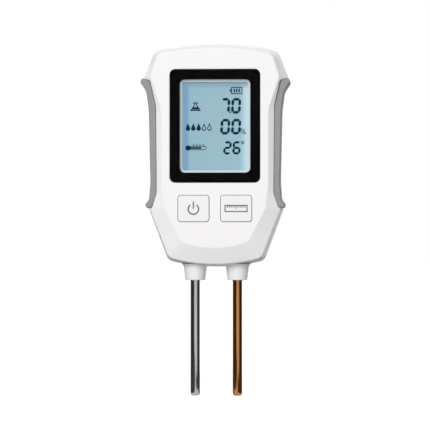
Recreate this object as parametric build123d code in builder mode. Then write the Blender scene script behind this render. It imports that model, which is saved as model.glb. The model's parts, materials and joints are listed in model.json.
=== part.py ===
from build123d import *
import os

os.makedirs("parts", exist_ok=True)

# Soil meter: hourglass case, display, two keys, two probes.
# Millimetres. Z runs up along the probes, the front faces -Y, X runs to the right.
# The origin lies midway between the two probe tips.

# Probes and their collars
probe_diameter = 4.2
probe_spacing = 19.0
probe_reach = 52.0
probe_tip_round = 0.7
probe_shank_diameter = 4.8
probe_shank_show = 0.3
probe_fit = 0.2
collar_length = 6.0
collar_mouth_diameter = 8.9
collar_root_diameter = 10.2
collar_flare = 1.3
collar_flare_radius = 2.05
collar_mouth_round = 0.4

# Case, seen from the front: half widths and heights
case_height = 99.8
case_depth = 27.0
wall = 2.0
rim_wall = 1.3
shoulder_half = 32.6
shoulder_drop = 15.3
top_corner_half = shoulder_half - 4.8
top_bow = 2.95
waist_half = shoulder_half - 3.6
waist_top_drop = 29.8
waist_low_rise = 38.0
hip_half = shoulder_half - 2.3
hip_rise = 26.0
foot_half = shoulder_half - 10.9
foot_bow = 2.9
top_corner_round = 5.0
shoulder_round = 3.0
waist_top_round = 14.0
waist_low_round = 14.0
hip_round = 3.0
foot_round = 4.0
back_draft = 1.0
back_round = 2.9
front_edge_round = 1.2
rim_round = 0.6

# Front slope between the flat face and the rim
slope_depth = 3.4
rim_draft = 1.0
rim_base_draft = 1.3
slope_top = 2.2
slope_shoulder = 4.0
slope_waist = 5.3
slope_hip = 7.8
slope_foot = 6.8
slope_base = 8.5

# Tongue and groove where the two shells meet
lip_thickness = 0.8
lip_height = 1.2
lip_clearance = 0.1

# Side grips
grip_seat_half = waist_half - 2.9
grip_half = waist_half - 0.1
grip_top_bulge = shoulder_half + 1.1
grip_low_bulge = hip_half + 1.0
grip_front_setback = 2.0
grip_back = 8.0
grip_seat_slant = 3.1
grip_clearance = 0.1
grip_edge_round = 0.7
grip_back_round = 0.6
grip_pocket_reach = 7.0

# Anti-slip ribs on the top
rib_count = 5
rib_pitch = 8.55
rib_width = 4.3
rib_height = 0.33
rib_depth = 15.0

# Display
display_width = 2 * waist_half - 17.7
display_height = 50.5
display_round = 2.5
display_drop = 11.7
display_clearance = 0.12
lens_thickness = 1.2
lens_setback = 0.15
gasket_thickness = 0.28
gasket_clearance = 0.02
window_width = display_width - 8.9
window_height = display_height - 9.0
window_round = 2.2
window_clearance = 0.15
ledge_thickness = 1.2
ledge_margin = 2.0
frame_margin = 2.4
frame_bezel = 1.0
frame_lip = 0.8
lcd_thickness = 1.6
lcd_overlap = 0.8
lcd_clearance = 0.1
light_guide_thickness = 1.2
contact_strip_thickness = 1.8
led_size = 1.0
led_count = 3

# Keys
key_width = display_width / 2 - 6.35
key_height = 11.6
key_round = 1.25
key_bridge = 5.2
key_drop = 11.5
key_proud = 0.5
key_gap = 0.25
key_travel = 0.5
key_flange_margin = 1.0
key_flange_thickness = 0.9
key_flange_gap = 0.15
key_edge_round = 0.35
key_stem_diameter = 4.0

# Tactile switches
switch_size = 6.0
switch_height = 2.5
plunger_diameter = 3.4
plunger_clearance = 0.1
plunger_sunk = 0.5
plunger_proud = 0.9

# Circuit board
board_setback = 6.85
board_thickness = 1.6
board_half = display_width / 2 + 0.35
board_low_drop = 7.1
board_corner_round = 1.5
board_top_drop = 7.8
board_screw_top_half = board_half - 6.5
board_screw_low_half = board_half - 3.5
board_screw_low_rise = 10.3
board_screw_inset = 2.4
board_boss_diameter = 3.8
board_screw_diameter = 1.6
board_screw_head = 3.2
board_screw_length = 5.0
screw_clearance = 0.1
screw_cross_length = 0.6  # share of the head
screw_cross_width = 0.16  # share of the head
chip_size = 9.0
chip_height = 1.6
chip_standoff = 0.15
chip_leads = 8
chip_lead_pitch = 0.9
chip_lead_length = 1.2
chip_drop = 8.0
capacitor_diameter = 4.0
capacitor_height = 3.6
capacitor_pitch = 7.0
capacitor_count = 3
capacitor_rise = 12.0
resistor_length = 1.8
resistor_height = 0.5
resistor_pitch = 3.4
resistor_columns = 5
resistor_rows = 2
resistor_drop = 12.0

# Case screws
screw_top_half = shoulder_half - 7.6
screw_top_drop = 14.8
screw_low_half = foot_half - 3.7
screw_low_rise = 14.0
screw_post_diameter = 6.4
screw_diameter = 2.4
screw_head_diameter = 4.6
screw_head_height = 1.8
screw_head_room = 0.4
screw_floor_setback = 8.4
screw_reach = 7.0

# Battery well and cells
cell_diameter = 10.5
cell_length = 44.5
cell_nub_diameter = 3.8
cell_nub_length = 0.8
cell_gap = 0.7
cell_clearance = 0.1
cell_edge_round = 0.4
well_rise = 29.5
well_length = 51.0
well_side_gap = 0.6
well_wall = 1.4
well_floor = 1.0
contact_thickness = 0.4
contact_width = 8.0
contact_gap = 0.1
contact_leg_width = 2.4
spring_wire = 0.6
spring_diameter = 5.6
spring_turns = 3
spring_seat = 0.06

# Battery door
door_thickness = 1.6
door_side_margin = 3.6
door_low_margin = 4.5
door_top_margin = 3.5
door_gap = 0.25
door_seat_gap = 0.1
door_round = 2.0
door_seat_thickness = 1.1
door_seat_margin = 1.5
hook_width = 4.0
hook_half_spacing = 9.0
hook_reach = 1.8
hook_thickness = 1.4
hook_wall_gap = 0.3
hook_room = 0.35
latch_width = 9.0
latch_length = 7.0
latch_slot = 0.8
latch_nose = 0.12
groove_count = 3
groove_pitch = 1.4
groove_depth = 0.4
scoop_width = 12.0
scoop_depth = 0.9

# Probe seat in the shells
seat_half = 15.5
seat_depth = 5.5
seat_rise = 8.5
seat_height = 9.0
head_diameter = 7.0
head_thickness = 1.5
head_drop = 3.0
seal_diameter = 7.0
seal_height = 2.0
seal_rise = 2.8
seal_fit = 0.05
tail_length = 5.5
lug_diameter = 6.6
lug_thickness = 0.6
lug_tab_length = 3.6
lug_tab_width = 2.4
nut_width = 7.0
nut_height = 2.2
wire_diameter = 1.2
wire_bend = 3.5
wire_board_rise = 4.0
sensor_bore = 2.6
sensor_diameter = 2.2
sensor_length = 4.0
sensor_rise = 4.0
sensor_lead_diameter = 0.9
sensor_lead_rise = 3.5
sensor_clearance = 0.2

# Places that follow from these sizes
case_bottom = probe_reach + collar_length
case_top = case_bottom + case_height
case_front = -(case_depth - key_proud) / 2
case_back = case_front + case_depth
rim_y = case_front + slope_depth
display_top = case_top - display_drop
display_z = display_top - display_height / 2
key_z = display_top - display_height - key_drop
lens_front = case_front + lens_setback
lens_back = lens_front + lens_thickness
ledge_front = lens_back + gasket_clearance + gasket_thickness
ledge_back = ledge_front + ledge_thickness
board_front = case_front + board_setback
board_back = board_front + board_thickness
board_low = key_z - board_low_drop
board_top = case_top - board_top_drop
frame_front = ledge_back + lcd_clearance
lcd_front = frame_front + frame_lip + lcd_clearance
lcd_back = lcd_front + lcd_thickness
key_half_spacing = (key_width + key_bridge) / 2
key_x = (-key_half_spacing, key_half_spacing)
probe_x = (-probe_spacing / 2, probe_spacing / 2)
shoulder_z = case_top - shoulder_drop
hip_z = case_bottom + hip_rise
seat_top = case_bottom + seat_rise
well_low = case_bottom + well_rise
well_top = well_low + well_length
well_half = cell_diameter + cell_gap / 2 + well_side_gap
door_low = well_low - door_low_margin
door_top = well_top + door_top_margin
door_half = well_half + door_side_margin
door_inner = case_back - door_thickness
cell_y = door_inner - cell_clearance - cell_diameter / 2
floor_back = cell_y - cell_diameter / 2 - cell_clearance
floor_front = floor_back - well_floor
shank_low = probe_reach - probe_shank_show
head_low = seat_top - head_drop - head_thickness
tail_top = seat_top + tail_length
wire_z = board_low + wire_board_rise
cell_x = (cell_diameter + cell_gap) / 2
cell_room = well_length - 2 * contact_thickness - cell_length
contact_low = well_low + contact_thickness
contact_top = well_top - contact_thickness
well_z = (well_low + well_top) / 2
door_z = (door_low + door_top) / 2
door_ledge = door_inner - door_seat_gap
hook_back = door_ledge - door_seat_thickness - hook_wall_gap
hook_front = hook_back - hook_thickness
hook_swing = ((case_back - hook_front) ** 2 + max(hook_reach, door_gap + hook_thickness) ** 2) ** 0.5
hook_sweep = hook_swing + hook_room
view_width = window_width - 2 * frame_bezel
view_height = window_height - 2 * frame_bezel
lcd_width = view_width + 2 * lcd_overlap
lcd_height = view_height + 2 * lcd_overlap
guide_back = lcd_back + lcd_clearance + light_guide_thickness
key_front = case_front - key_proud
key_flange_front = case_front + wall + key_flange_gap
switch_front = board_front - switch_height
plunger_front = switch_front - plunger_proud
chip_z = (board_low + board_top) / 2 - chip_drop
outside = grip_top_bulge + grip_pocket_reach
grip_front = case_front + grip_front_setback
key_places = [(x, key_z) for x in key_x]
case_screw_places = [
    (side * half, z)
    for half, z in (
        (screw_top_half, case_top - screw_top_drop),
        (screw_low_half, case_bottom + screw_low_rise),
    )
    for side in (-1, 1)
]
board_screw_places = [
    (side * half, z)
    for half, z in (
        (board_screw_top_half, board_top - board_screw_inset),
        (board_screw_low_half, key_z + board_screw_low_rise),
    )
    for side in (-1, 1)
]

# Corners of a grip, from its upper outer corner down and back up along its seat:
# half width, height, rounding
grip_outer_corners = (
    (shoulder_half - 0.2, shoulder_z - 0.15, 0.9),
    (grip_top_bulge, shoulder_z - 1.8, 1.6),
    (grip_half + 1.8, shoulder_z - 6.0, 8.0),
    (grip_half + 0.7, shoulder_z - 15.0, 16.0),
    (grip_half, hip_z + 12.0, 16.0),
    (grip_half + 0.6, hip_z + 4.0, 4.0),
    (grip_low_bulge, hip_z + 2.0, 1.2),
    (hip_half + 0.2, hip_z, 0.9),
)
grip_seat_corners = (
    (grip_seat_half + 2.0, hip_z + 0.6, 1.6),
    (grip_seat_half - 0.1, hip_z + 7.0, 9.0),
    (grip_seat_half + 0.2, shoulder_z - 12.5, 14.0),
    (grip_seat_half + 2.8, shoulder_z - 1.3, 1.6),
)

# Draw-in of the outline at each depth: top, shoulder, waist, hip, foot, base
plateau = (slope_top, slope_shoulder, slope_waist, slope_hip, slope_foot, slope_base)
rim = (rim_draft, rim_draft, rim_draft, rim_draft, rim_draft, rim_base_draft)
widest = (0, 0, 0, 0, 0, 0)
rear = (back_draft,) * 6
side_wall = waist_half - grip_seat_half + wall
inner_wall = (wall, side_wall, side_wall, side_wall, wall, wall)
grown = (-rib_height,) * 6
inner_slope = (wall / 2, wall, wall / 2, wall / 2, wall / 2, wall / 2)


def at(y):
    """Plane across the case at depth y, seen from the front."""
    return Plane.XZ.offset(-y)


def case_section(y, drawn_in, band=0):
    """Hourglass outline of the case at depth y, drawn in from its widest outline.

    With a band, it is only the strip of that width round the outside of the outline.
    """
    top, shoulder, waist, hip, foot, base = drawn_in
    corners = (
        (top_corner_half - top, case_top - top_bow - top, top_corner_round),
        (shoulder_half - shoulder, shoulder_z, shoulder_round),
        (waist_half - waist, case_top - waist_top_drop, waist_top_round),
        (waist_half - waist, case_bottom + waist_low_rise, waist_low_round),
        (hip_half - hip, hip_z, hip_round),
        (foot_half - foot, case_bottom + foot_bow + base, foot_round),
    )
    right = [(x, z) for x, z, radius in corners]
    left = [(-x, z) for x, z, radius in reversed(corners)]
    with BuildSketch(at(y)) as outline:
        with BuildLine():
            ThreePointArc(left[-1], (0, case_top - top), right[0])
            Polyline(*right)
            ThreePointArc(right[-1], (0, case_bottom + base), left[0])
            Polyline(*left)
        make_face()
        for x, z, radius in corners:
            for side in (-1, 1):
                fillet(outline.vertices().sort_by_distance((side * x, z))[0], radius)
        if band:
            inside = outline.sketch_local
            offset(amount=band)
            add(inside, mode=Mode.SUBTRACT)
    return outline.sketch


def case_loft(*layers):
    """Straight-sided body through the outlines at these depths."""
    loft([case_section(y, drawn_in) for y, drawn_in in layers], ruled=True)


def joined(first, second):
    """Two draw-ins added up."""
    return tuple(a + b for a, b in zip(first, second))


# Collars, one round each probe, with a small flare into the case
with BuildPart() as collars:
    for x in probe_x:
        mouth = x + collar_mouth_diameter / 2
        root = x + collar_root_diameter / 2
        flare_start = (root, case_bottom - collar_flare / 2)
        flare_end = (root + collar_flare, case_bottom + collar_flare)
        with BuildSketch(Plane.XZ) as collar_profile:
            with BuildLine():
                Polyline(
                    (x, case_bottom + collar_flare),
                    (x, probe_reach),
                    (mouth, probe_reach),
                    flare_start,
                )
                RadiusArc(flare_start, flare_end, collar_flare_radius)
                Line(flare_end, (x, case_bottom + collar_flare))
            make_face()
            fillet(collar_profile.vertices().sort_by_distance((mouth, probe_reach))[0], collar_mouth_round)
        revolve(axis=Axis((x, 0, 0), (0, 0, 1)))

# Room for each probe with its head and its seal
with BuildPart() as probe_room:
    for height, length, diameter in (
        (probe_reach - 1, seat_top - probe_reach + 2, probe_shank_diameter + probe_fit),
        (head_low - probe_fit / 2, head_thickness + probe_fit, head_diameter + 2 * probe_fit),
        (probe_reach + seal_rise, seal_height, seal_diameter + probe_fit),
    ):
        with BuildSketch(Plane.XY.offset(height)):
            with GridLocations(probe_spacing, 0, 2, 1):
                Circle(diameter / 2)
        extrude(amount=length)

# Anti-slip ribs: the case grown by their height and cut down to bars
with BuildPart() as top_ribs:
    case_loft((rim_y, joined(rim, grown)), (0, grown), (case_back, joined(rear, grown)))
    with BuildSketch(Plane.XY.offset(case_top - top_bow - wall / 2)):
        with GridLocations(rib_pitch, 0, rib_count, 1):
            Rectangle(rib_width, rib_depth)
    extrude(amount=top_bow + wall, mode=Mode.INTERSECT)

# Pocket that each side grip sits in
with BuildSketch(at(grip_back)) as grip_seat:
    with BuildLine():
        Polyline(
            (outside, hip_z - grip_seat_slant),
            *[(x, z) for x, z, radius in grip_seat_corners],
            (outside, shoulder_z + grip_seat_slant),
            close=True,
        )
    make_face()
    for x, z, radius in grip_seat_corners:
        fillet(grip_seat.vertices().sort_by_distance((x, z))[0], radius)

with BuildPart() as grip_pockets:
    extrude(grip_seat.sketch, amount=grip_back - case_front + 1)
    mirror(about=Plane.YZ)

# Core of the front shell: the hollow, less the plastic that stands in it
with BuildPart() as front_core:
    case_loft(
        (case_front + wall, joined(plateau, inner_slope)),
        (rim_y + rim_wall, joined(rim, inner_wall)),
        (0, inner_wall),
    )
    with BuildSketch(at(0)):
        with Locations(*case_screw_places):
            Circle(screw_post_diameter / 2)
    extrude(amount=case_depth, mode=Mode.SUBTRACT)
    with BuildSketch(at(board_front)):
        with Locations(*board_screw_places):
            Circle(board_boss_diameter / 2)
    extrude(amount=case_depth, mode=Mode.SUBTRACT)
    with BuildSketch(at(0)):
        with Locations((0, seat_top - seat_height / 2)):
            Rectangle(2 * seat_half, seat_height)
    extrude(amount=seat_depth, mode=Mode.SUBTRACT)
    with BuildSketch(at(ledge_back)):
        with Locations((0, display_z)):
            Rectangle(display_width + 2 * ledge_margin, display_height + 2 * ledge_margin)
    extrude(amount=case_depth, mode=Mode.SUBTRACT)

with BuildPart() as front_shell:
    case_loft((case_front, plateau), (rim_y, rim), (0, widest))
    fillet(front_shell.edges().group_by(Axis.Y)[0], front_edge_round)
    fillet(front_shell.edges().filter_by_position(Axis.Y, rim_y - 0.01, rim_y + 0.01), rim_round)
    add(collars.part)
    add(top_ribs.part)
    split(bisect_by=Plane.XZ, keep=Keep.TOP)
    add(front_core.part, mode=Mode.SUBTRACT)
    add(probe_room.part, mode=Mode.SUBTRACT)
    add(grip_pockets.part, mode=Mode.SUBTRACT)
    # Groove that takes the lip of the back shell
    groove = case_section(0, inner_wall, lip_thickness + lip_clearance)
    extrude(groove, amount=lip_height, mode=Mode.SUBTRACT)
    # Recess for the lens, and the window behind it
    with BuildSketch(at(ledge_front)):
        with Locations((0, display_z)):
            RectangleRounded(
                display_width + 2 * display_clearance,
                display_height + 2 * display_clearance,
                display_round + display_clearance,
            )
    extrude(amount=wall, mode=Mode.SUBTRACT)
    with BuildSketch(at(ledge_back)):
        with Locations((0, display_z)):
            RectangleRounded(
                window_width + 2 * window_clearance,
                window_height + 2 * window_clearance,
                window_round + window_clearance,
            )
    extrude(amount=ledge_back - case_front, mode=Mode.SUBTRACT)
    # Holes for the two keys
    with BuildSketch(at(case_front + wall)):
        with Locations(*key_places):
            RectangleRounded(key_width + 2 * key_gap, key_height + 2 * key_gap, key_round + key_gap)
    extrude(amount=wall, mode=Mode.SUBTRACT)
    # Pilot holes for the case screws and the board screws
    with BuildSketch(at(0)):
        with Locations(*case_screw_places):
            Circle(screw_diameter / 2 + screw_clearance)
    extrude(amount=screw_reach + screw_clearance, mode=Mode.SUBTRACT)
    with BuildSketch(at(board_front)):
        with Locations(*board_screw_places):
            Circle(board_screw_diameter / 2 + screw_clearance)
    extrude(amount=board_screw_length - board_thickness + screw_clearance, mode=Mode.SUBTRACT)
front_shell.part.label = "front_shell"
export_step(front_shell.part, "parts/front_shell.step")

# Core of the back shell
with BuildPart() as back_core:
    case_loft((0, inner_wall), (case_back - wall, joined(rear, inner_wall)))
    with BuildSketch(at(case_back)):
        with Locations(*case_screw_places):
            Circle(screw_post_diameter / 2)
    extrude(amount=case_back, mode=Mode.SUBTRACT)
    with BuildSketch(at(seat_depth)):
        with Locations((0, seat_top - seat_height / 2)):
            Rectangle(2 * seat_half, seat_height)
    extrude(amount=seat_depth, mode=Mode.SUBTRACT)
    with BuildSketch(at(case_back)):
        with Locations((0, door_z)):
            Rectangle(
                2 * (door_half + door_seat_margin),
                door_top - door_low + 2 * door_seat_margin,
            )
    extrude(amount=case_back - door_ledge + door_seat_thickness, mode=Mode.SUBTRACT)
    with BuildSketch(at(case_back)):
        with Locations((0, well_z)):
            Rectangle(2 * (well_half + well_wall), well_length + 2 * well_wall)
    extrude(amount=case_back - floor_front, mode=Mode.SUBTRACT)

with BuildPart() as back_shell:
    case_loft((0, widest), (case_back, rear))
    fillet(back_shell.edges().group_by(Axis.Y)[-1], back_round)
    add(collars.part)
    add(top_ribs.part)
    split(bisect_by=Plane.XZ, keep=Keep.BOTTOM)
    # Lip that fits inside the wall of the front shell
    extrude(case_section(0, inner_wall, lip_thickness), amount=lip_height - lip_clearance)
    add(back_core.part, mode=Mode.SUBTRACT)
    add(probe_room.part, mode=Mode.SUBTRACT)
    add(grip_pockets.part, mode=Mode.SUBTRACT)
    # Battery well and the recess of its door
    with BuildSketch(at(case_back)):
        with Locations((0, well_z)):
            Rectangle(2 * well_half, well_length)
    extrude(amount=case_back - floor_back, mode=Mode.SUBTRACT)
    with BuildSketch(at(case_back)):
        with Locations((0, door_z)):
            RectangleRounded(2 * door_half, door_top - door_low, door_round)
    extrude(amount=case_back - door_ledge, mode=Mode.SUBTRACT)
    # Room for the two hooks of the door, and the finger scoop at its other end
    with BuildSketch(at(case_back)):
        with Locations((0, door_low + hook_sweep / 2)):
            with GridLocations(2 * hook_half_spacing, 0, 2, 1):
                Rectangle(hook_width + 2 * hook_room, hook_sweep)
    extrude(amount=hook_sweep, mode=Mode.SUBTRACT)
    with BuildSketch(at(case_back)):
        with Locations((0, door_top)):
            Circle(scoop_width / 2)
    extrude(amount=scoop_depth, mode=Mode.SUBTRACT)
    # Screw holes with deep counterbores for the heads
    with BuildSketch(at(case_back)):
        with Locations(*case_screw_places):
            Circle(screw_head_diameter / 2 + screw_head_room)
    extrude(amount=screw_floor_setback, mode=Mode.SUBTRACT)
    with BuildSketch(at(case_back)):
        with Locations(*case_screw_places):
            Circle(screw_diameter / 2 + screw_clearance)
    extrude(amount=case_back + lip_height, mode=Mode.SUBTRACT)
    # Slots in the floor of the well for the legs of the battery terminals
    with BuildSketch(at(floor_back)):
        with Locations((0, well_top - contact_thickness)):
            with GridLocations(2 * cell_x, 0, 2, 1):
                Rectangle(contact_leg_width + 2 * contact_gap, 2 * contact_thickness)
    extrude(amount=well_floor, mode=Mode.SUBTRACT)
back_shell.part.label = "back_shell"
export_step(back_shell.part, "parts/back_shell.step")

# Battery door: plate with a latch tongue at the top and two hooks at the bottom
with BuildPart() as battery_door:
    with BuildSketch(at(case_back)):
        with Locations((0, door_z)):
            RectangleRounded(
                2 * (door_half - door_gap),
                door_top - door_low - 2 * door_gap,
                door_round - door_gap,
            )
        with Locations((0, door_top - door_gap - latch_length / 2)):
            with GridLocations(latch_width + latch_slot, 0, 2, 1):
                Rectangle(latch_slot, latch_length, mode=Mode.SUBTRACT)
    extrude(amount=door_thickness)
    # Finger grooves across the tongue
    with BuildSketch(at(case_back)):
        with Locations((0, door_top - latch_length / 2)):
            with GridLocations(0, groove_pitch, 1, groove_count):
                Rectangle(latch_width - 2 * groove_pitch, groove_pitch / 2)
    extrude(amount=groove_depth, mode=Mode.SUBTRACT)
    # Nose of the latch, just short of the edge that it snaps behind
    with BuildSketch(at(door_inner + door_thickness / 2)):
        with Locations((0, door_top - door_gap)):
            Rectangle(latch_width, 2 * latch_nose)
    extrude(amount=door_thickness / 2)
    # Hooks: a leg through the seat and a foot that reaches under the case wall
    with BuildSketch(at(door_inner)):
        with Locations((0, door_low + door_gap + hook_thickness / 2)):
            with GridLocations(2 * hook_half_spacing, 0, 2, 1):
                Rectangle(hook_width, hook_thickness)
    extrude(amount=door_inner - hook_front)
    with BuildSketch(at(hook_front + hook_thickness)):
        with Locations((0, door_low + (door_gap + hook_thickness - hook_reach) / 2)):
            with GridLocations(2 * hook_half_spacing, 0, 2, 1):
                Rectangle(hook_width, door_gap + hook_thickness + hook_reach)
    extrude(amount=hook_thickness)
battery_door.part.label = "battery_door"
export_step(battery_door.part, "parts/battery_door.step")

# Side grips
with BuildPart() as right_grip:
    grip_corners = list(grip_outer_corners)
    for x, z, radius in grip_seat_corners:
        up = grip_clearance if z < hip_z + 2 else -grip_clearance
        grip_corners.append((x + grip_clearance, z + up, radius))
    with BuildSketch(at(grip_back - grip_clearance)) as grip_profile:
        with BuildLine():
            Polyline(*[(x, z) for x, z, radius in grip_corners], close=True)
        make_face()
        for x, z, radius in grip_corners:
            fillet(grip_profile.vertices().sort_by_distance((x, z))[0], radius)
    extrude(amount=grip_back - grip_clearance - grip_front)
    fillet(right_grip.edges().group_by(Axis.Y)[0], grip_edge_round)
    outer_edges = [
        edge
        for edge in right_grip.edges().group_by(Axis.Y)[-1]
        if edge.center().X > grip_half - 2 * grip_clearance
    ]
    fillet(outer_edges, grip_back_round)
right_grip.part.label = "right_grip"
export_step(right_grip.part, "parts/right_grip.step")

with BuildPart() as left_grip:
    add(mirror(right_grip.part, about=Plane.YZ, mode=Mode.PRIVATE))
left_grip.part.label = "left_grip"
export_step(left_grip.part, "parts/left_grip.step")

# Display: lens, black gasket, grey frame, glass, light guide with its lamps, contact strip
with BuildPart() as display_lens:
    with BuildSketch(at(lens_back)):
        with Locations((0, display_z)):
            RectangleRounded(display_width, display_height, display_round)
    extrude(amount=lens_thickness)
display_lens.part.label = "display_lens"
export_step(display_lens.part, "parts/display_lens.step")

with BuildPart() as lens_gasket:
    with BuildSketch(at(ledge_front)):
        with Locations((0, display_z)):
            RectangleRounded(display_width, display_height, display_round)
            RectangleRounded(window_width, window_height, window_round, mode=Mode.SUBTRACT)
    extrude(amount=gasket_thickness)
lens_gasket.part.label = "lens_gasket"
export_step(lens_gasket.part, "parts/lens_gasket.step")

with BuildPart() as display_frame:
    with BuildSketch(at(board_front)):
        with Locations((0, display_z)):
            Rectangle(window_width + 2 * frame_margin, window_height + 2 * frame_margin)
    extrude(amount=board_front - frame_front)
    with BuildSketch(at(board_front)):
        with Locations((0, display_z)):
            Rectangle(lcd_width + 2 * lcd_clearance, lcd_height + 2 * lcd_clearance)
    extrude(amount=board_front - frame_front - frame_lip, mode=Mode.SUBTRACT)
    with BuildSketch(at(board_front)):
        with Locations((0, display_z)):
            RectangleRounded(view_width, view_height, window_round - frame_bezel)
    extrude(amount=board_front - frame_front, mode=Mode.SUBTRACT)
display_frame.part.label = "display_frame"
export_step(display_frame.part, "parts/display_frame.step")

with BuildPart() as lcd_panel:
    with BuildSketch(at(lcd_back)):
        with Locations((0, display_z)):
            Rectangle(lcd_width, lcd_height)
    extrude(amount=lcd_thickness)
lcd_panel.part.label = "lcd_panel"
export_step(lcd_panel.part, "parts/lcd_panel.step")

with BuildPart() as backlight_panel:
    with BuildSketch(at(guide_back)):
        with Locations((-led_size, display_z + contact_strip_thickness)):
            Rectangle(
                lcd_width - 2 * led_size - 2 * lcd_clearance,
                lcd_height - 2 * contact_strip_thickness,
            )
    extrude(amount=light_guide_thickness)
backlight_panel.part.label = "backlight_panel"
export_step(backlight_panel.part, "parts/backlight_panel.step")

with BuildPart() as backlight_leds:
    with BuildSketch(at(board_front)):
        with Locations((lcd_width / 2 - led_size / 2 - lcd_clearance, display_z)):
            with GridLocations(0, lcd_height / led_count, 1, led_count):
                Rectangle(led_size, 2 * led_size)
    extrude(amount=led_size)
backlight_leds.part.label = "backlight_leds"
export_step(backlight_leds.part, "parts/backlight_leds.step")

with BuildPart() as contact_strip:
    with BuildSketch(at(board_front)):
        with Locations((0, display_z - lcd_height / 2 + contact_strip_thickness / 2 + lcd_clearance)):
            Rectangle(lcd_width - 4 * lcd_clearance, contact_strip_thickness)
    extrude(amount=board_front - lcd_back)
contact_strip.part.label = "contact_strip"
export_step(contact_strip.part, "parts/contact_strip.step")


def make_key(name, place):
    """Key cap with its retaining flange and the stem that meets the switch plunger."""
    with BuildPart() as key:
        with BuildSketch(at(key_flange_front)):
            with Locations(place):
                RectangleRounded(key_width, key_height, key_round)
        extrude(amount=key_flange_front - key_front)
        fillet(key.edges().group_by(Axis.Y)[0], key_edge_round)
        with BuildSketch(at(key_flange_front + key_flange_thickness)):
            with Locations(place):
                RectangleRounded(
                    key_width + 2 * key_flange_margin,
                    key_height + 2 * key_flange_margin,
                    key_round,
                )
        extrude(amount=key_flange_thickness)
        with BuildSketch(at(plunger_front)):
            with Locations(place):
                Circle(key_stem_diameter / 2)
        extrude(amount=plunger_front - key_flange_front)
    key.part.label = name
    export_step(key.part, "parts/" + name + ".step")


def make_switch(name, place):
    """Switch body on the board, and the plunger that slides in it."""
    with BuildPart() as switch:
        with BuildSketch(at(board_front)):
            with Locations(place):
                Rectangle(switch_size, switch_size)
        extrude(amount=switch_height)
        with BuildSketch(at(switch_front)):
            with Locations(place):
                Circle(plunger_diameter / 2 + plunger_clearance)
        extrude(amount=-(plunger_sunk + key_travel + plunger_clearance), mode=Mode.SUBTRACT)
    switch.part.label = name
    export_step(switch.part, "parts/" + name + ".step")
    with BuildPart() as plunger:
        with BuildSketch(at(switch_front + plunger_sunk)):
            with Locations(place):
                Circle(plunger_diameter / 2)
        extrude(amount=switch_front + plunger_sunk - plunger_front)
    plunger.part.label = name + "_plunger"
    export_step(plunger.part, "parts/" + name + "_plunger.step")


for key_name, key_place in zip(("power", "measure"), key_places):
    make_key(key_name + "_button", key_place)
    make_switch(key_name + "_switch", key_place)

# Circuit board and what is on its back
with BuildPart() as circuit_board:
    with BuildSketch(at(board_back)):
        with Locations((0, (board_low + board_top) / 2)):
            RectangleRounded(2 * board_half, board_top - board_low, board_corner_round)
        with Locations(*board_screw_places):
            Circle(board_screw_diameter / 2 + screw_clearance, mode=Mode.SUBTRACT)
    extrude(amount=board_thickness)
circuit_board.part.label = "circuit_board"
export_step(circuit_board.part, "parts/circuit_board.step")

with BuildPart() as main_chip:
    with BuildSketch(at(board_back + chip_height)):
        with Locations((0, chip_z)):
            Rectangle(chip_size, chip_size)
    extrude(amount=chip_height - chip_standoff)
    with BuildSketch(at(board_back + 2 * chip_standoff)):
        with Locations((0, chip_z)):
            with GridLocations(0, chip_lead_pitch, 1, chip_leads):
                Rectangle(chip_size + 2 * chip_lead_length, chip_lead_pitch / 2)
            with GridLocations(chip_lead_pitch, 0, chip_leads, 1):
                Rectangle(chip_lead_pitch / 2, chip_size + 2 * chip_lead_length)
    extrude(amount=2 * chip_standoff)
main_chip.part.label = "main_chip"
export_step(main_chip.part, "parts/main_chip.step")

with BuildPart() as board_parts:
    with BuildSketch(at(board_back + capacitor_height)):
        with Locations((0, chip_z + capacitor_rise)):
            with GridLocations(capacitor_pitch, 0, capacitor_count, 1):
                Circle(capacitor_diameter / 2)
    extrude(amount=capacitor_height)
    with BuildSketch(at(board_back + resistor_height)):
        with Locations((0, chip_z - resistor_drop)):
            with GridLocations(resistor_pitch, resistor_pitch, resistor_columns, resistor_rows):
                Rectangle(resistor_length, resistor_length / 2)
    extrude(amount=resistor_height)
board_parts.part.label = "board_parts"
export_step(board_parts.part, "parts/board_parts.step")


def make_screws(name, places, seat_y, reach, shank, head, head_height, slot_depth):
    """Round-headed screws along Y: heads behind seat_y, shanks reaching forward."""
    with BuildPart() as screws:
        with BuildSketch(at(seat_y + head_height)):
            with Locations(*places):
                Circle(head / 2)
        extrude(amount=head_height)
        with BuildSketch(at(seat_y)):
            with Locations(*places):
                Circle(shank / 2)
        extrude(amount=reach)
        with BuildSketch(at(seat_y + head_height)):
            with Locations(*places):
                Rectangle(head * screw_cross_length, head * screw_cross_width)
                Rectangle(head * screw_cross_width, head * screw_cross_length)
        extrude(amount=slot_depth, mode=Mode.SUBTRACT)
    screws.part.label = name
    export_step(screws.part, "parts/" + name + ".step")


make_screws(
    "case_screws",
    case_screw_places,
    case_back - screw_floor_setback,
    case_back - screw_floor_setback + screw_reach,
    screw_diameter,
    screw_head_diameter,
    screw_head_height,
    screw_head_height / 2,
)
make_screws(
    "board_screws",
    board_screw_places,
    board_back,
    board_screw_length,
    board_screw_diameter,
    board_screw_head,
    board_screw_head / 3,
    board_screw_head / 6,
)

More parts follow.
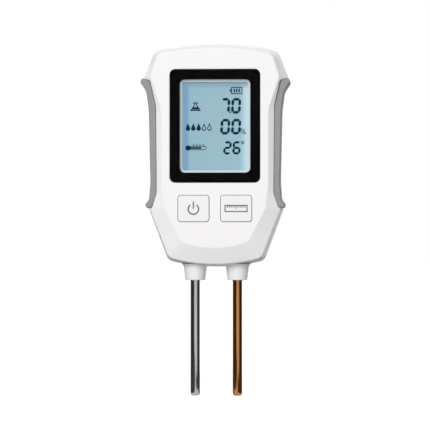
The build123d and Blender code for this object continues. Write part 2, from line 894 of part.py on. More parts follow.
# Two cells side by side, the left one with its nub down and the right one with its nub up
with BuildPart() as battery_cells:
    for x, flat_end, nub_end in (
        (-cell_x, contact_top - cell_room, contact_low),
        (cell_x, contact_low + cell_room, contact_top),
    ):
        inward = (flat_end - nub_end) / abs(flat_end - nub_end)
        with BuildSketch(Plane((x, cell_y, 0), x_dir=(1, 0, 0), z_dir=(0, -1, 0))) as cell_profile:
            with BuildLine():
                Polyline(
                    (0, flat_end),
                    (cell_diameter / 2, flat_end),
                    (cell_diameter / 2, nub_end + inward * cell_nub_length),
                    (cell_nub_diameter / 2, nub_end + inward * cell_nub_length),
                    (cell_nub_diameter / 2, nub_end),
                    (0, nub_end),
                    close=True,
                )
            make_face()
            for z in (flat_end, nub_end + inward * cell_nub_length):
                fillet(cell_profile.vertices().sort_by_distance((cell_diameter / 2, z))[0], cell_edge_round)
        revolve(axis=Axis((x, cell_y, 0), (0, 0, 1)))
battery_cells.part.label = "battery_cells"
export_step(battery_cells.part, "parts/battery_cells.step")

with BuildPart() as battery_terminals:
    with BuildSketch(Plane.XY.offset(contact_top)):
        with Locations((0, floor_back + contact_gap + contact_width / 2)):
            with GridLocations(2 * cell_x, 0, 2, 1):
                Rectangle(contact_width, contact_width)
        with Locations((0, (board_back + floor_back + contact_width / 2) / 2)):
            with GridLocations(2 * cell_x, 0, 2, 1):
                Rectangle(contact_leg_width, floor_back + contact_width / 2 - board_back)
    extrude(amount=contact_thickness)
battery_terminals.part.label = "battery_terminals"
export_step(battery_terminals.part, "parts/battery_terminals.step")

with BuildPart() as battery_bridge:
    with BuildSketch(Plane.XY.offset(well_low)):
        with Locations((0, floor_back + contact_gap + contact_width / 2)):
            Rectangle(2 * cell_x + contact_width, contact_width)
    extrude(amount=contact_thickness)
battery_bridge.part.label = "battery_bridge"
export_step(battery_bridge.part, "parts/battery_bridge.step")

with BuildPart() as battery_springs:
    for x, low in ((-cell_x, contact_top - cell_room), (cell_x, contact_low)):
        coil_radius = (spring_diameter - spring_wire) / 2
        coil_height = cell_room - spring_wire - 2 * spring_seat
        with BuildLine(Plane((x, cell_y, low + spring_wire / 2 + spring_seat))) as coil:
            Helix(coil_height / spring_turns, coil_height, coil_radius)
        with BuildSketch(Plane(coil.line @ 0, z_dir=coil.line % 0)):
            Circle(spring_wire / 2)
        sweep(path=coil.line, is_frenet=True)
battery_springs.part.label = "battery_springs"
export_step(battery_springs.part, "parts/battery_springs.step")


def make_probe(name, x, bore):
    """Rod with a rounded tip and the head that the shells hold; bore is 0 for a solid rod."""
    with BuildPart() as probe:
        with BuildSketch(Plane.XY):
            with Locations((x, 0)):
                Circle(probe_diameter / 2)
        extrude(amount=tail_top)
        fillet(probe.edges().group_by(Axis.Z)[0], probe_tip_round)
        with BuildSketch(Plane.XY.offset(shank_low)):
            with Locations((x, 0)):
                Circle(probe_shank_diameter / 2)
        extrude(amount=seat_top - shank_low)
        with BuildSketch(Plane.XY.offset(head_low)):
            with Locations((x, 0)):
                Circle(head_diameter / 2)
        extrude(amount=head_thickness)
        if bore:
            with BuildSketch(Plane.XY.offset(sensor_rise)):
                with Locations((x, 0)):
                    Circle(bore / 2)
            extrude(amount=tail_top, mode=Mode.SUBTRACT)
    probe.part.label = name
    export_step(probe.part, "parts/" + name + ".step")


make_probe("steel_probe", probe_x[0], sensor_bore)
make_probe("copper_probe", probe_x[1], 0)

with BuildPart() as probe_seals:
    with BuildSketch(Plane.XY.offset(probe_reach + seal_rise)):
        with GridLocations(probe_spacing, 0, 2, 1):
            Circle(seal_diameter / 2)
            Circle(probe_shank_diameter / 2 + seal_fit, mode=Mode.SUBTRACT)
    extrude(amount=seal_height)
probe_seals.part.label = "probe_seals"
export_step(probe_seals.part, "parts/probe_seals.step")

# Ring lugs with tabs that point inwards, nuts over them, and wires from the tabs to the board
with BuildPart() as probe_lugs:
    with BuildSketch(Plane.XY.offset(seat_top)):
        with GridLocations(probe_spacing, 0, 2, 1):
            Circle(lug_diameter / 2)
        for side in (-1, 1):
            tab_x = (probe_spacing - lug_diameter - lug_tab_length + lug_tab_width) / 2
            with Locations((side * tab_x, 0)):
                Rectangle(lug_tab_length + lug_tab_width, lug_tab_width)
        with GridLocations(probe_spacing, 0, 2, 1):
            Circle(probe_diameter / 2 + probe_fit / 2, mode=Mode.SUBTRACT)
    extrude(amount=lug_thickness)
probe_lugs.part.label = "probe_lugs"
export_step(probe_lugs.part, "parts/probe_lugs.step")

with BuildPart() as probe_nuts:
    with BuildSketch(Plane.XY.offset(seat_top + lug_thickness)):
        with GridLocations(probe_spacing, 0, 2, 1):
            RegularPolygon(nut_width / 2, 6, major_radius=False)
            Circle(probe_diameter / 2 + probe_fit / 2, mode=Mode.SUBTRACT)
    extrude(amount=nut_height)
probe_nuts.part.label = "probe_nuts"
export_step(probe_nuts.part, "parts/probe_nuts.step")

with BuildPart() as probe_wires:
    for side in (-1, 1):
        x = side * (probe_spacing / 2 - lug_diameter / 2 - lug_tab_length + wire_diameter)
        low = seat_top + lug_thickness
        with BuildLine() as wire_path:
            FilletPolyline((x, 0, low), (x, 0, wire_z), (x, board_back, wire_z), radius=wire_bend)
        with BuildSketch(Plane.XY.offset(low)):
            with Locations((x, 0)):
                Circle(wire_diameter / 2)
        sweep(path=wire_path.line)
probe_wires.part.label = "probe_wires"
export_step(probe_wires.part, "parts/probe_wires.step")

# Temperature sensor at the end of the hollow steel probe, with its lead to the board
with BuildPart() as temperature_sensor:
    bead_low = sensor_rise + sensor_clearance
    with BuildSketch(Plane.XY.offset(bead_low)):
        with Locations((probe_x[0], 0)):
            Circle(sensor_diameter / 2)
    extrude(amount=sensor_length)
    fillet(temperature_sensor.edges().group_by(Axis.Z)[0], sensor_diameter / 4)
    with BuildLine() as lead_path:
        FilletPolyline(
            (probe_x[0], 0, bead_low + sensor_length),
            (probe_x[0], 0, wire_z + sensor_lead_rise),
            (probe_x[0], board_back, wire_z + sensor_lead_rise),
            radius=wire_bend,
        )
    with BuildSketch(Plane.XY.offset(bead_low + sensor_length)):
        with Locations((probe_x[0], 0)):
            Circle(sensor_lead_diameter / 2)
    sweep(path=lead_path.line)
temperature_sensor.part.label = "temperature_sensor"
export_step(temperature_sensor.part, "parts/temperature_sensor.step")
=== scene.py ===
import json
import math

import bmesh
import bpy
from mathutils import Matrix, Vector


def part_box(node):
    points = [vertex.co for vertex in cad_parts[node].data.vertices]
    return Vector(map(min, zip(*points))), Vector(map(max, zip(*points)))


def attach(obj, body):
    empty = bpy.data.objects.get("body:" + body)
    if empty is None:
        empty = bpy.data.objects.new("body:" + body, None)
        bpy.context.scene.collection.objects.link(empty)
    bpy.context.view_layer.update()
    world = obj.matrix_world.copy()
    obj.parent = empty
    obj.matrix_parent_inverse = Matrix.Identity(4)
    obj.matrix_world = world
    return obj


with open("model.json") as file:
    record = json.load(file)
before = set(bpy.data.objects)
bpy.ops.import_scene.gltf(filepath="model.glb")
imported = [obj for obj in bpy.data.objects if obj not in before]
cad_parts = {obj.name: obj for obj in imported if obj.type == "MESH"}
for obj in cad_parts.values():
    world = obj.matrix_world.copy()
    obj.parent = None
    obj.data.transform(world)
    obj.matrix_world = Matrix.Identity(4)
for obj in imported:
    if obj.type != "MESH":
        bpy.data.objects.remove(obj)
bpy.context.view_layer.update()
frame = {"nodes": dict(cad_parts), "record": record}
nodes = frame["nodes"]

MM = 0.001

# How the photograph was taken: image side in metres at the object, its centre, and the bearing
VIEW_SIDE = 0.1935
VIEW_ACROSS = -0.0006
VIEW_HEIGHT = 0.0812
VIEW_BEARING = math.radians(3.0)
CAMERA_DISTANCE = 1.1
SENSOR_WIDTH = 36.0

# Colours, linear
CASE = (0.89, 0.872, 0.878)
SEAM = (0.3, 0.3, 0.31)
KEY = (0.86, 0.846, 0.856)
GRIP = (0.3, 0.292, 0.296)
BLACK = (0.001, 0.001, 0.0012)
FRAME_RING = (0.78, 0.84, 0.88)
# Painted shadow under the top edge of the display
DISPLAY_TOP_SHADOW = (0.2, 0.34, 0.42)
INK = (0.003, 0.028, 0.075)
PRINT = (0.17, 0.17, 0.18)
BOARD = (0.02, 0.15, 0.05)
BOARD_MASK = (0.012, 0.1, 0.035)
BOARD_TRACK = (0.035, 0.24, 0.08)
SLEEVE = (0.03, 0.12, 0.3)
SLEEVE_BAND = (0.55, 0.56, 0.58)
CELL_END = (0.6, 0.6, 0.6)
WHITE = (1.0, 1.0, 1.0)

# Display's painted backlight glow, from left to right: position and colour; a deeper blue stripe near the
# left edge and a bright glow along the right edge
DISPLAY_GLOW_TONES = (
    (0.03, (0.26, 0.43, 0.53)),
    (0.06, (0.15, 0.32, 0.51)),
    (0.095, (0.17, 0.35, 0.51)),
    (0.14, (0.27, 0.45, 0.53)),
    (0.85, (0.29, 0.47, 0.54)),
    (0.95, (0.48, 0.68, 0.76)),
)

# Studio light: level at the sides, from front and back, and from above
SIDE_LIGHT = 0.18
FACE_LIGHT = 1.95
TOP_LIGHT = 0.7
# What gloss sees of it, from the front (0) to the back (1): position and level
GLOSS_LEVELS = ((0.12, 0.95), (0.22, 0.03), (0.6, 0.02), (0.85, 1.0))
GLOSS_FLOOR = 0.78


def new_material(name):
    """Material with a Principled shader, and object coordinates to place its texture."""
    mat = bpy.data.materials.new(name)
    mat.use_nodes = True
    tree = mat.node_tree
    shader = tree.nodes["Principled BSDF"]
    place = tree.nodes.new("ShaderNodeTexCoord").outputs["Object"]
    return mat, tree, shader, place


def axes(tree, place):
    """The X, Y and Z of a place."""
    node = tree.nodes.new("ShaderNodeSeparateXYZ")
    tree.links.new(place, node.inputs[0])
    return node.outputs


def noise(tree, place, scale, detail=3.0):
    """Noise texture at so many bumps to the metre."""
    texture = tree.nodes.new("ShaderNodeTexNoise")
    texture.inputs["Scale"].default_value = scale
    texture.inputs["Detail"].default_value = detail
    tree.links.new(place, texture.inputs["Vector"])
    return texture.outputs["Fac"]


def spread(tree, value, low, high, start=0.3, end=0.7):
    """Value from start to end, mapped to low to high."""
    node = tree.nodes.new("ShaderNodeMapRange")
    node.inputs["From Min"].default_value = start
    node.inputs["From Max"].default_value = end
    node.inputs["To Min"].default_value = low
    node.inputs["To Max"].default_value = high
    tree.links.new(value, node.inputs["Value"])
    return node.outputs["Result"]


def math_node(tree, operation, first, second=None):
    """One arithmetic step; its inputs are sockets or numbers."""
    node = tree.nodes.new("ShaderNodeMath")
    node.operation = operation
    for socket, value in zip(node.inputs, (first, second)):
        if value is None:
            continue
        if isinstance(value, (int, float)):
            socket.default_value = value
        else:
            tree.links.new(value, socket)
    return node.outputs[0]


def product(tree, first, *others):
    """Sockets or numbers multiplied."""
    for value in others:
        first = math_node(tree, "MULTIPLY", first, value)
    return first


def mix(tree, factor, first, second):
    """Mix of two colours by a factor from 0 to 1."""
    node = tree.nodes.new("ShaderNodeMix")
    node.data_type = "RGBA"
    tree.links.new(factor, node.inputs["Factor"])
    for socket, value in ((node.inputs["A"], first), (node.inputs["B"], second)):
        if isinstance(value, tuple):
            socket.default_value = (*value, 1.0)
        else:
            tree.links.new(value, socket)
    return node.outputs["Result"]


def ramp(tree, value, stops):
    """Colour by a value, through stops of position and colour."""
    node = tree.nodes.new("ShaderNodeValToRGB")
    tree.links.new(value, node.inputs["Fac"])
    while len(node.color_ramp.elements) < len(stops):
        node.color_ramp.elements.new(0.5)
    for element, (position, color) in zip(node.color_ramp.elements, stops):
        element.position = position
        element.color = (*color, 1.0)
    return node.outputs["Color"]


def scaled(color, factor):
    """Colour made lighter or darker."""
    return tuple(min(1.0, c * factor) for c in color)


def grey(level):
    """Grey as a colour."""
    return (level, level, level)


def add_bump(tree, shader, height, strength, depth):
    """Bump from a height in 0 to 1, depth metres deep."""
    bump = tree.nodes.new("ShaderNodeBump")
    bump.inputs["Strength"].default_value = strength
    bump.inputs["Distance"].default_value = depth
    tree.links.new(height, bump.inputs["Height"])
    tree.links.new(bump.outputs["Normal"], shader.inputs["Normal"])


def grained(name, color, rough, grain=2500.0, relief=0.00002, tone=0.03, metallic=0.0, specular=0.5):
    """Moulded, cast or plated surface: fine grain, slow change of tone, uneven gloss."""
    mat, tree, shader, place = new_material(name)
    slow = noise(tree, place, 60.0)
    fine = noise(tree, place, grain, 4.0)
    tint = mix(tree, slow, scaled(color, 1 - tone), scaled(color, 1 + tone))
    tree.links.new(tint, shader.inputs["Base Color"])
    gloss = spread(tree, fine, rough * 0.85, min(1.0, rough * 1.15))
    tree.links.new(gloss, shader.inputs["Roughness"])
    shader.inputs["Metallic"].default_value = metallic
    shader.inputs["Specular IOR Level"].default_value = specular
    add_bump(tree, shader, fine, 0.4, relief)
    return mat, tree, shader, place


def case_material():
    """White case: satin grain, and the dark hairline where the two shells meet."""
    mat, tree, shader, place = grained("case_white", CASE, 0.42, 3200.0, 0.000012, 0.012)
    depth = math_node(tree, "ABSOLUTE", axes(tree, place)["Y"])
    seam = spread(tree, depth, 1.0, 0.0, 0.06 * MM, 0.14 * MM)
    tint = shader.inputs["Base Color"].links[0].from_socket
    tree.links.new(mix(tree, seam, tint, SEAM), shader.inputs["Base Color"])
    return mat


def grip_material():
    """Grey soft plastic with fine leathery grain and shallow ribs across the outer face."""
    mat, tree, shader, place = grained("grip_grey", GRIP, 0.55, 1800.0, 0.00005, 0.06)
    at = axes(tree, place)
    rib_pitch = 2.8 * MM
    wave = math_node(tree, "SINE", product(tree, at["Z"], 2 * math.pi / rib_pitch))
    rib = spread(tree, wave, 0.0, 1.0, 0.3, 0.85)
    front = spread(tree, at["Y"], 0.0, 1.0, -8.6 * MM, -7.8 * MM)
    back = spread(tree, at["Y"], 1.0, 0.0, 4.6 * MM, 5.4 * MM)
    low = spread(tree, at["Z"], 0.0, 1.0, 92 * MM, 94 * MM)
    high = spread(tree, at["Z"], 1.0, 0.0, 131 * MM, 133 * MM)
    ribs = product(tree, rib, front, back, low, high)
    fine = noise(tree, place, 1800.0, 4.0)
    height = math_node(tree, "ADD", ribs, product(tree, fine, 0.12))
    add_bump(tree, shader, height, 0.9, 0.00035)
    return mat


def lens_material():
    """Clear window: nearly all light passes, a little gloss stays."""
    mat, tree, shader, place = new_material("lens_clear")
    smear = noise(tree, place, 40.0)
    tree.links.new(spread(tree, smear, 0.03, 0.06), shader.inputs["Roughness"])
    shader.inputs["Base Color"].default_value = (*grey(0.0), 1.0)
    shader.inputs["Alpha"].default_value = 0.06
    shader.inputs["Specular IOR Level"].default_value = 0.5
    return mat


def drawn_metal(name, color, rough):
    """Drawn rod: fine lines along Z, and slow changes of tone."""
    mat, tree, shader, place = new_material(name)
    stretch = tree.nodes.new("ShaderNodeMapping")
    stretch.inputs["Scale"].default_value = (1.0, 1.0, 0.03)
    tree.links.new(place, stretch.inputs["Vector"])
    lines = noise(tree, stretch.outputs["Vector"], 4500.0, 3.0)
    slow = noise(tree, place, 90.0)
    tint = mix(tree, slow, scaled(color, 0.9), scaled(color, 1.1))
    tree.links.new(tint, shader.inputs["Base Color"])
    tree.links.new(spread(tree, lines, rough * 0.85, rough * 1.15), shader.inputs["Roughness"])
    shader.inputs["Metallic"].default_value = 1.0
    add_bump(tree, shader, lines, 0.03, 0.000005)
    return mat


def display_material():
    """Display glass with painted backlight glow, brighter to the right and darker to the left, and a painted
    shadow under the top edge.
    """
    mat, tree, shader, place = new_material("lcd_blue")
    at = axes(tree, place)
    low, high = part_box("lcd_panel")
    # Painted backlight glow across the display, brighter towards the right
    across = spread(tree, at["X"], 0.0, 1.0, low.x, high.x)
    # Painted shadow under the top edge, where the window's rim shades the recessed display; it is emitted
    # too
    top = spread(tree, at["Z"], 0.0, 1.0, high.z - 4.0 * MM, high.z - 1.2 * MM)
    glow_and_shadow = mix(tree, top, ramp(tree, across, DISPLAY_GLOW_TONES), DISPLAY_TOP_SHADOW)
    tree.links.new(glow_and_shadow, shader.inputs["Base Color"])
    tree.links.new(glow_and_shadow, shader.inputs["Emission Color"])
    shader.inputs["Emission Strength"].default_value = 0.28
    speck = noise(tree, place, 3000.0)
    tree.links.new(spread(tree, speck, 0.3, 0.4), shader.inputs["Roughness"])
    return mat


def board_material():
    """Circuit board: green mask over a net of tracks."""
    mat, tree, shader, place = grained("board_green", BOARD, 0.4, 1500.0)
    track = tree.nodes.new("ShaderNodeTexVoronoi")
    track.distance = "MANHATTAN"
    track.feature = "F1"
    track.inputs["Scale"].default_value = 450.0
    tree.links.new(place, track.inputs["Vector"])
    line = spread(tree, track.outputs["Distance"], 1.0, 0.0, 0.32, 0.36)
    tree.links.new(mix(tree, line, BOARD_MASK, BOARD_TRACK), shader.inputs["Base Color"])
    return mat


def cell_material():
    """Battery sleeve: blue plastic film between bright steel ends."""
    mat, tree, shader, place = grained("cell_sleeve", SLEEVE, 0.25, 900.0, 0.000003)
    low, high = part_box("battery_cells")
    middle = (low.z + high.z) / 2
    away = math_node(tree, "ABSOLUTE", math_node(tree, "SUBTRACT", axes(tree, place)["Z"], middle))
    steel = spread(tree, away, 0.0, 1.0, 20.6 * MM, 20.7 * MM)
    band = spread(tree, away, 0.0, 1.0, 14.0 * MM, 14.1 * MM)
    sleeve = mix(tree, band, SLEEVE, SLEEVE_BAND)
    tree.links.new(mix(tree, steel, sleeve, CELL_END), shader.inputs["Base Color"])
    tree.links.new(steel, shader.inputs["Metallic"])
    return mat


looks = {
    "case_white": case_material(),
    "key_white": grained("key_white", KEY, 0.38, 3000.0, 0.000012, 0.012)[0],
    "grip_grey": grip_material(),
    "lens_clear": lens_material(),
    "gasket_black": grained("gasket_black", BLACK, 0.7, 2500.0, 0.00001, 0.1, specular=0.0)[0],
    "frame_grey": grained("frame_grey", FRAME_RING, 0.5, 2500.0)[0],
    "lcd_blue": display_material(),
    "guide_white": grained("guide_white", (0.8, 0.82, 0.82), 0.3, 1200.0)[0],
    "led_yellow": grained("led_yellow", (0.85, 0.75, 0.35), 0.25, 1200.0)[0],
    "chip_black": grained("chip_black", (0.02, 0.02, 0.022), 0.5, 3000.0)[0],
    "board_green": board_material(),
    "cell_sleeve": cell_material(),
    "contact_steel": grained("contact_steel", (0.62, 0.61, 0.59), 0.28, 1800.0, metallic=1.0)[0],
    "probe_steel": drawn_metal("probe_steel", (0.38, 0.38, 0.4), 0.11),
    "probe_copper": drawn_metal("probe_copper", (0.38, 0.17, 0.055), 0.11),
    "wire_red": grained("wire_red", (0.5, 0.03, 0.03), 0.4, 1500.0)[0],
}
for part in frame["record"]["subparts"]:
    skin = nodes[part["node"]].data
    skin.materials.clear()
    skin.materials.append(looks[part["material_slot"]])

# The heads of the case screws, deep in their counterbores, are rougher than the contacts, and their colour
# is darkened as painted shade of the counterbores
screw_dull_recess_shade = grained("screw_dull_recess_shade", (0.2, 0.2, 0.21), 0.38, 1800.0, metallic=1.0)[0]
nodes["case_screws"].data.materials[0] = screw_dull_recess_shade

ink = grained("display_ink", INK, 0.6, 2500.0, tone=0.1, specular=0.05)[0]
key_print = grained("key_print", PRINT, 0.6, 2500.0, tone=0.1, specular=0.2)[0]
moulded = grained("moulded_sign", scaled(CASE, 0.93), 0.5, 3000.0, 0.000012, 0.012)[0]


def printed(name, outlines, front, thickness, mat, body):
    """Thin plates, one for each outline of (x, z) in millimetres, whose front lies at depth front."""
    mesh = bpy.data.meshes.new(name)
    bm = bmesh.new()
    for outline in outlines:
        face = bm.faces.new([bm.verts.new((x * MM, front * MM, z * MM)) for x, z in outline])
        solid = bmesh.ops.extrude_face_region(bm, geom=[face])
        moved = [v for v in solid["geom"] if isinstance(v, bmesh.types.BMVert)]
        bmesh.ops.translate(bm, verts=moved, vec=(0, thickness * MM, 0))
    bmesh.ops.recalc_face_normals(bm, faces=bm.faces)
    bm.to_mesh(mesh)
    bm.free()
    mesh.materials.append(mat)
    piece = bpy.data.objects.new(name, mesh)
    bpy.context.scene.collection.objects.link(piece)
    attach(piece, body)


def bar(x0, z0, x1, z1, width):
    """Straight stroke between two points."""
    start, end = Vector((x0, z0)), Vector((x1, z1))
    along = (end - start).normalized() * width / 2
    side = Vector((-along.y, along.x))
    return [tuple(corner) for corner in (start + side, end + side, end - side, start - side)]


def curve(x, z, radius, start, end, steps):
    """Points along an arc, in degrees anticlockwise from the right."""
    angles = [math.radians(start + (end - start) * i / steps) for i in range(steps + 1)]
    return [(x + radius * math.cos(a), z + radius * math.sin(a)) for a in angles]


def arc(x, z, radius, width, start, end, steps=36):
    """Stroke along an arc."""
    outside = curve(x, z, radius + width / 2, start, end, steps)
    inside = curve(x, z, radius - width / 2, start, end, steps)
    return outside + inside[::-1]


def disc(x, z, radius, steps=24):
    """Filled circle."""
    return curve(x, z, radius, 0, 360, steps)[:-1]


def rounded(x0, z0, x1, z1, radius, steps=6):
    """Rectangle with rounded corners."""
    shape = []
    for corner_x, corner_z, start in (
        (x1 - radius, z1 - radius, 0),
        (x0 + radius, z1 - radius, 90),
        (x0 + radius, z0 + radius, 180),
        (x1 - radius, z0 + radius, 270),
    ):
        shape += curve(corner_x, corner_z, radius, start, start + 90, steps)
    return shape


def frame_of(x0, z0, x1, z1, width):
    """Outlined rectangle made of four bars."""
    half = width / 2
    return [
        bar(x0 - half, z0, x1 + half, z0, width),
        bar(x0 - half, z1, x1 + half, z1, width),
        bar(x0, z0 + half, x0, z1 - half, width),
        bar(x1, z0 + half, x1, z1 - half, width),
    ]


# Which of the seven segments a digit lights: a top, b upper right, c lower right, d bottom,
# e lower left, f upper left, g middle
LIT = {"0": "abcdef", "2": "abged", "6": "afgedc", "7": "abc"}


def digit(character, left, low, width, height, stroke, lean=0.06):
    """Seven-segment digit as pointed bars, leaning a little to the right."""
    right = left + width
    high = low + height
    mid = (low + high) / 2
    half = stroke / 2
    gap = stroke * 0.06
    ends = {
        "a": ((left, high), (right, high)),
        "b": ((right, high), (right, mid)),
        "c": ((right, mid), (right, low)),
        "d": ((left, low), (right, low)),
        "e": ((left, mid), (left, low)),
        "f": ((left, high), (left, mid)),
        "g": ((left, mid), (right, mid)),
    }
    shapes = []
    for segment in LIT[character]:
        start, end = (Vector(point) for point in ends[segment])
        along = (end - start).normalized()
        side = Vector((-along.y, along.x)) * half
        first = start + along * gap
        last = end - along * gap
        points = (
            first,
            first + along * half + side,
            last - along * half + side,
            last,
            last - along * half - side,
            first + along * half - side,
        )
        shapes.append([(p.x + lean * (p.y - low), p.y) for p in points])
    return shapes


def battery_sign(left, low):
    """Battery lying down, its pole to the left, with three marks in it."""
    can_left = left + 0.55
    shapes = frame_of(can_left, low, can_left + 4.6, low + 2.8, 0.4)
    shapes.append(bar(left, low + 0.8, left, low + 2.0, 0.55))
    for step in (1.2, 2.3, 3.4):
        shapes.append(bar(can_left + step, low + 0.55, can_left + step, low + 2.25, 0.65))
    return shapes


def flask_sign(x, low):
    """Flask with some liquid in it."""
    shapes = [bar(x - 1.1, low + 3.3, x + 1.1, low + 3.3, 0.45)]
    for side in (-1, 1):
        shapes.append(bar(x + side * 0.55, low + 3.3, x + side * 0.55, low + 2.0, 0.4))
        shapes.append(bar(x + side * 0.55, low + 2.1, x + side * 2.1, low, 0.42))
    shapes.append(bar(x - 2.25, low, x + 2.25, low, 0.5))
    shapes.append([(x - 1.55, low + 0.4), (x + 1.55, low + 0.4), (x + 0.8, low + 1.4), (x - 0.8, low + 1.4)])
    return shapes


def drop_sign(x, z, full):
    """Drop about a centre, filled or in outline."""
    drop = curve(x, z, 1.0, -200, 20, 20) + [(x, z + 2.45)]
    if full:
        return [drop]
    middle = z + 0.2
    inner = [(x + (u - x) * 0.6, middle + (v - middle) * 0.6) for u, v in drop]
    pairs = [(i, (i + 1) % len(drop)) for i in range(len(drop))]
    return [[drop[i], drop[j], inner[j], inner[i]] for i, j in pairs]


def thermometer_sign(x, z):
    """Thermometer lying down, its bulb at the left, with four ticks above it."""
    shapes = [disc(x, z, 1.15), bar(x, z, x + 6.0, z, 0.8)]
    shapes.append(arc(x + 7.4, z, 0.75, 0.3, -90, 90, 16))
    for side in (-1, 1):
        shapes.append(bar(x + 0.9, z + side * 0.75, x + 7.4, z + side * 0.75, 0.3))
    for step in (2.6, 4.0, 5.4, 6.8):
        shapes.append(bar(x + step, z + 1.0, x + step, z + 1.8, 0.4))
    return shapes


# What the display shows: three plain numbers with a sign before each, and a battery at the top
LARGE_DIGIT = (3.1, 5.8, 1.2)
SMALL_DIGIT = (2.6, 4.9, 1.0)
FIRST_ROW = 127.0
SECOND_ROW = 117.7
THIRD_ROW = 108.7
shown = []
for text, left, low, size in (
    ("7", 2.75, FIRST_ROW, LARGE_DIGIT),
    ("0", 7.6, FIRST_ROW, LARGE_DIGIT),
    ("0", 2.75, SECOND_ROW, LARGE_DIGIT),
    ("0", 7.6, SECOND_ROW, LARGE_DIGIT),
    ("2", 4.0, THIRD_ROW, SMALL_DIGIT),
    ("6", 8.1, THIRD_ROW, SMALL_DIGIT),
):
    shown += digit(text, left, low, *size)
shown.append(rounded(6.35, FIRST_ROW - 0.4, 7.05, FIRST_ROW + 0.35, 0.15))
# Percent and degree signs
shown.append(bar(11.5, SECOND_ROW - 0.2, 13.3, SECOND_ROW + 1.8, 0.35))
shown.append(arc(11.65, SECOND_ROW + 1.6, 0.42, 0.3, 0, 359))
shown.append(arc(13.15, SECOND_ROW + 0.1, 0.42, 0.3, 0, 359))
shown.append(arc(12.2, THIRD_ROW + 4.8, 0.55, 0.35, 0, 359))
shown += battery_sign(6.75, 135.3)
shown += flask_sign(-8.8, FIRST_ROW + 0.9)
for x, full in ((-12.2, True), (-9.8, True), (-7.4, True), (-5.0, False), (-2.6, False)):
    shown += drop_sign(x, SECOND_ROW + 2.05, full)
shown += thermometer_sign(-12.2, THIRD_ROW + 2.4)

PRINT_THICKNESS = 0.04
lcd_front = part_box("lcd_panel")[0].y / MM
printed("display_figures", shown, lcd_front - 0.05, PRINT_THICKNESS, ink, "case")


def middle_of(node):
    """Middle of a piece seen from the front, in millimetres."""
    low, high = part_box(node)
    return (low.x + high.x) / 2 / MM, (low.z + high.z) / 2 / MM


# Signs on the keys: power, and a rule for measuring
key_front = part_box("power_button")[0].y / MM - 0.02
power_x, key_z = middle_of("power_button")
power_sign = [
    arc(power_x, key_z - 0.3, 2.3, 0.62, 125, 415),
    bar(power_x, key_z - 0.1, power_x, key_z + 3.0, 0.62),
]
printed("power_sign", power_sign, key_front, PRINT_THICKNESS, key_print, "power_key")

RULE_HALF_LENGTH = 4.9
RULE_HALF_WIDTH = 1.35
RULE_STEPS = 10
measure_x = middle_of("measure_button")[0]
rule_left, rule_right = measure_x - RULE_HALF_LENGTH, measure_x + RULE_HALF_LENGTH
rule = frame_of(rule_left, key_z - RULE_HALF_WIDTH, rule_right, key_z + RULE_HALF_WIDTH, 0.5)
for i in range(1, RULE_STEPS):
    tick = 1.4 if i % 5 == 0 else 0.85
    x = rule_left + i * 2 * RULE_HALF_LENGTH / RULE_STEPS
    rule.append(bar(x, key_z + 1.2, x, key_z + 1.2 - tick, 0.42))
printed("measure_sign", rule, key_front, PRINT_THICKNESS, key_print, "measure_key")

# Arrow on the door under its latch
door_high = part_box("battery_door")[1]
arrow_z = door_high.z / MM - 10.5
arrow = [
    [(-2.2, arrow_z), (2.2, arrow_z), (0.0, arrow_z + 2.6)],
    bar(-2.2, arrow_z - 1.1, 2.2, arrow_z - 1.1, 0.6),
]
printed("door_arrow", arrow, door_high.y / MM - 0.04, 0.12, moulded, "door")

# Plus and minus signs on the floor of the battery well, at the ends of each cell
cell_low, cell_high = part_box("battery_cells")
cell_x = (cell_high.x - cell_low.x) / 4 / MM
signs = []
for side in (-1, 1):
    x = side * cell_x
    for end in (-1, 1):
        z = (cell_low.z + cell_high.z) / 2 / MM + end * 17.0
        signs.append(bar(x - 1.5, z, x + 1.5, z, 0.6))
        if side == end:
            signs.append(bar(x, z + 0.3, x, z + 1.5, 0.6))
            signs.append(bar(x, z - 1.5, x, z - 0.3, 0.6))
printed("battery_signs", signs, cell_low.y / MM - 0.12, 0.06, key_print, "case")

# Floor: white to the camera, pale before the object and dark behind it for the light it throws up
bpy.ops.mesh.primitive_plane_add(size=6.0, location=(0, 0, -0.0002))
floor = bpy.context.active_object
floor.name = "floor"
mat, tree, shader, place = new_material("floor_white")
shader.inputs["Roughness"].default_value = 0.9
shader.inputs["Specular IOR Level"].default_value = 0.1
dust = noise(tree, place, 30.0)
behind = spread(tree, axes(tree, place)["Y"], 0.0, 1.0, -0.01, 0.03)
pale = mix(tree, dust, grey(0.43), grey(0.45))
tree.links.new(mix(tree, behind, pale, grey(0.05)), shader.inputs["Base Color"])
ray = tree.nodes.new("ShaderNodeLightPath")
mirrored = product(tree, ray.outputs["Is Glossy Ray"], GLOSS_FLOOR)
seen = math_node(tree, "MAXIMUM", ray.outputs["Is Camera Ray"], ray.outputs["Is Transmission Ray"])
shader.inputs["Emission Color"].default_value = (*WHITE, 1.0)
tree.links.new(math_node(tree, "MAXIMUM", seen, mirrored), shader.inputs["Emission Strength"])
floor.data.materials.append(mat)

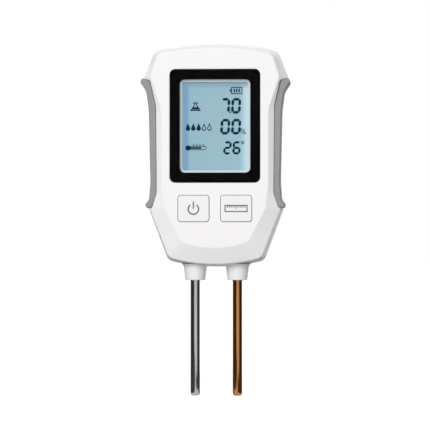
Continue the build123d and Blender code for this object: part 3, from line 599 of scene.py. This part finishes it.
# Dark cards beside the object and on the floor at each side, which only its gloss sees:
# name, middle, turn about Y, width and depth
for name, middle, turn, width, depth in (
    ("card_left", (-0.13, -0.07, 0.14), math.pi / 2, 0.28, 0.46),
    ("card_right", (0.13, 0.01, 0.14), math.pi / 2, 0.28, 0.24),
    ("card_low_left", (-0.0715, -0.07, 0.001), 0.0, 0.117, 0.46),
    ("card_low_middle", (0.0, 0.065, 0.001), 0.0, 0.0125, 0.13),
    ("card_low_right", (0.0715, 0.01, 0.001), 0.0, 0.117, 0.24),
):
    bpy.ops.mesh.primitive_plane_add(size=1.0, location=middle, rotation=(0, turn, 0))
    card = bpy.context.active_object
    card.name = name
    card.scale = (width, depth, 1.0)
    card.visible_camera = False
    card.visible_diffuse = False
    card.visible_transmission = False
    card.visible_shadow = False
    mat, tree, shader, place = new_material(name)
    felt = noise(tree, place, 200.0)
    tree.links.new(mix(tree, felt, grey(0.1), grey(0.13)), shader.inputs["Base Color"])
    shader.inputs["Specular IOR Level"].default_value = 0.0
    card.data.materials.append(mat)

# World: white to the camera, soft grey light on the object
world = bpy.data.worlds.new("studio")
bpy.context.scene.world = world
world.use_nodes = True
tree = world.node_tree
tree.nodes.clear()
ray = tree.nodes.new("ShaderNodeLightPath")
toward = axes(tree, tree.nodes.new("ShaderNodeTexCoord").outputs["Generated"])
facing = math_node(tree, "POWER", math_node(tree, "ABSOLUTE", toward["Y"]), 4.0)
overhead = math_node(tree, "POWER", math_node(tree, "MAXIMUM", toward["Z"], 0.0), 3.0)
faces = spread(tree, facing, SIDE_LIGHT, FACE_LIGHT, 0.0, 1.0)
panels = math_node(tree, "ADD", faces, product(tree, overhead, TOP_LIGHT))
stops = [(position, grey(level)) for position, level in GLOSS_LEVELS]
gloss = ramp(tree, spread(tree, toward["Y"], 0.0, 1.0, -1.0, 1.0), stops)
direct = math_node(tree, "MAXIMUM", ray.outputs["Is Camera Ray"], ray.outputs["Is Transmission Ray"])
soft = mix(tree, ray.outputs["Is Glossy Ray"], panels, gloss)
sky = tree.nodes.new("ShaderNodeBackground")
tree.links.new(mix(tree, direct, soft, WHITE), sky.inputs["Color"])
out = tree.nodes.new("ShaderNodeOutputWorld")
tree.links.new(sky.outputs[0], out.inputs[0])

# Soft square lights at the object's front left and back right, which its gloss doesn't see
for name, place, size, watts in (
    ("key_light", (-0.55, -1.25, 0.6), 0.5, 9.0),
    ("back_light", (0.8, 1.0, 0.6), 0.6, 7.0),
):
    light = bpy.data.lights.new(name, "AREA")
    light.size = size
    light.energy = watts
    lamp = bpy.data.objects.new(name, light)
    lamp.location = place
    ray_of_aim = Vector((0, 0, 0.1)) - Vector(place)
    lamp.rotation_euler = ray_of_aim.to_track_quat("-Z", "Y").to_euler()
    lamp.visible_glossy = False
    bpy.context.scene.collection.objects.link(lamp)

# Camera
camera_data = bpy.data.cameras.new("camera")
camera = bpy.data.objects.new("camera", camera_data)
bpy.context.scene.collection.objects.link(camera)
camera_data.sensor_width = SENSOR_WIDTH
camera_data.lens = SENSOR_WIDTH * CAMERA_DISTANCE / VIEW_SIDE
aim = Vector((VIEW_ACROSS, 0.0, VIEW_HEIGHT))
toward_camera = Vector((math.sin(VIEW_BEARING), -math.cos(VIEW_BEARING), 0.0))
camera.location = aim + toward_camera * CAMERA_DISTANCE
camera.rotation_euler = (-toward_camera).to_track_quat("-Z", "Y").to_euler()
camera_data.clip_start = 0.05
camera_data.clip_end = 20.0
bpy.context.scene.camera = camera
bpy.context.scene.view_settings.view_transform = "Standard"
